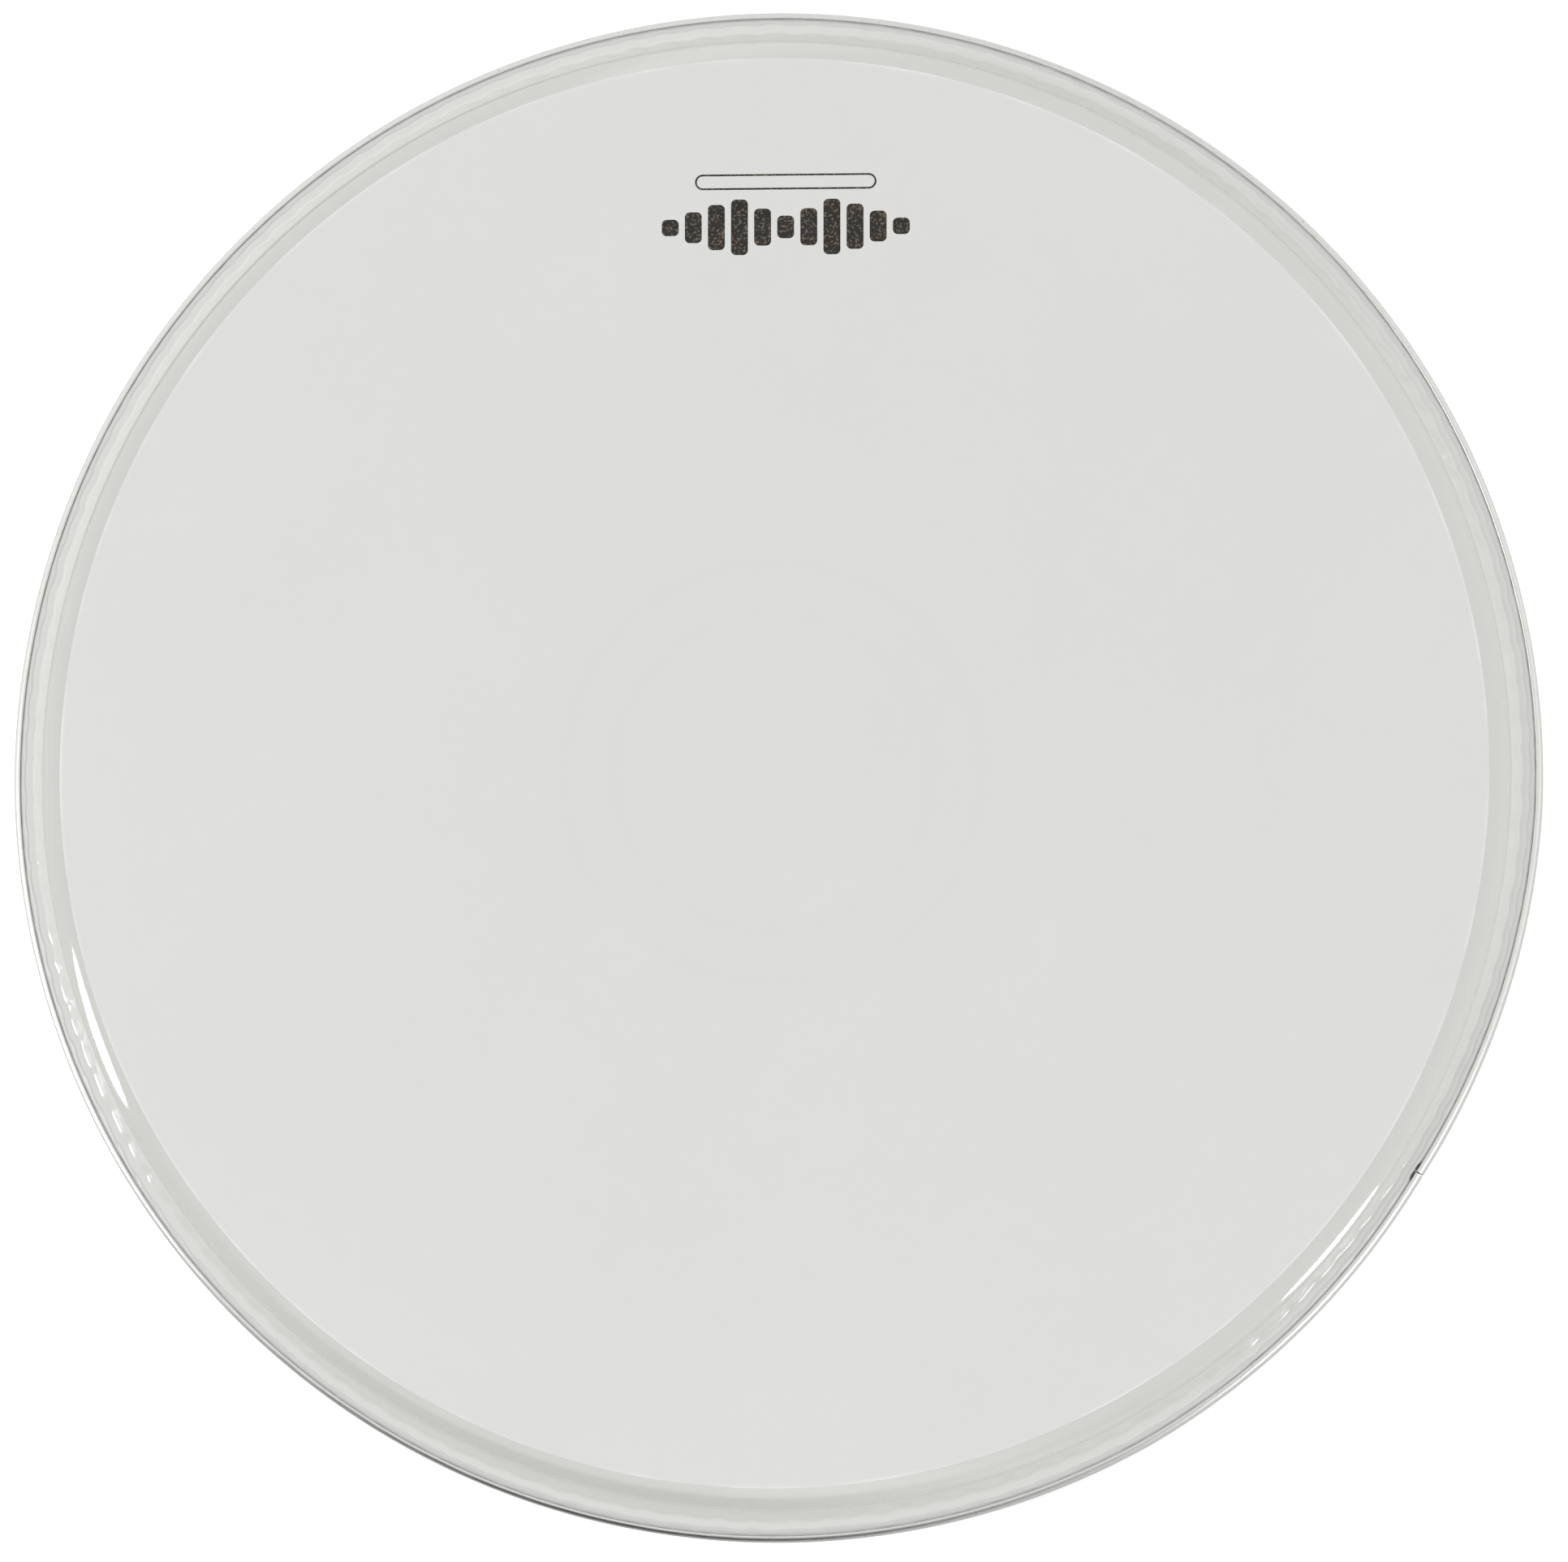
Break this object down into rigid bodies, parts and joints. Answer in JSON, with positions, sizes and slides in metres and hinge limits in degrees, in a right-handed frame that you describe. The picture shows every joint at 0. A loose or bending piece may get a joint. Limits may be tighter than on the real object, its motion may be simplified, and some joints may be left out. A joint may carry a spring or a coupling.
{
  "type": "drum head",
  "caption": "Coated drum head: clear film with a white coated crown, a round shoulder and a dot underneath, potted into a rolled aluminium hoop that drops over a drum shell.",
  "frame": {"origin": "on the head's axis, in the plane of the hoop's foot, where the head stands on a table", "axes": "+Z along the axis out of the playing side, +Y towards the top edge of the picture, +X to its right"},
  "size_m": [0.37, 0.37, 0.0172],
  "materials": {
    "hoop_aluminium": "satin, roll-formed strip",
    "clear_film": "clear and glossy, faintly hazy",
    "potting_resin": "glossy cast surface",
    "white_coating": "matte, finely pebbled",
    "dot_film": "translucent, satin",
    "dot_glue": "clear layer"
  },
  "bodies": {
    "root": {"hoop": "hoop_aluminium", "film": "clear_film", "resin": "potting_resin", "coating": "white_coating", "dot": "dot_film", "dot_adhesive": "dot_glue"}
  },
  "joints": []
}
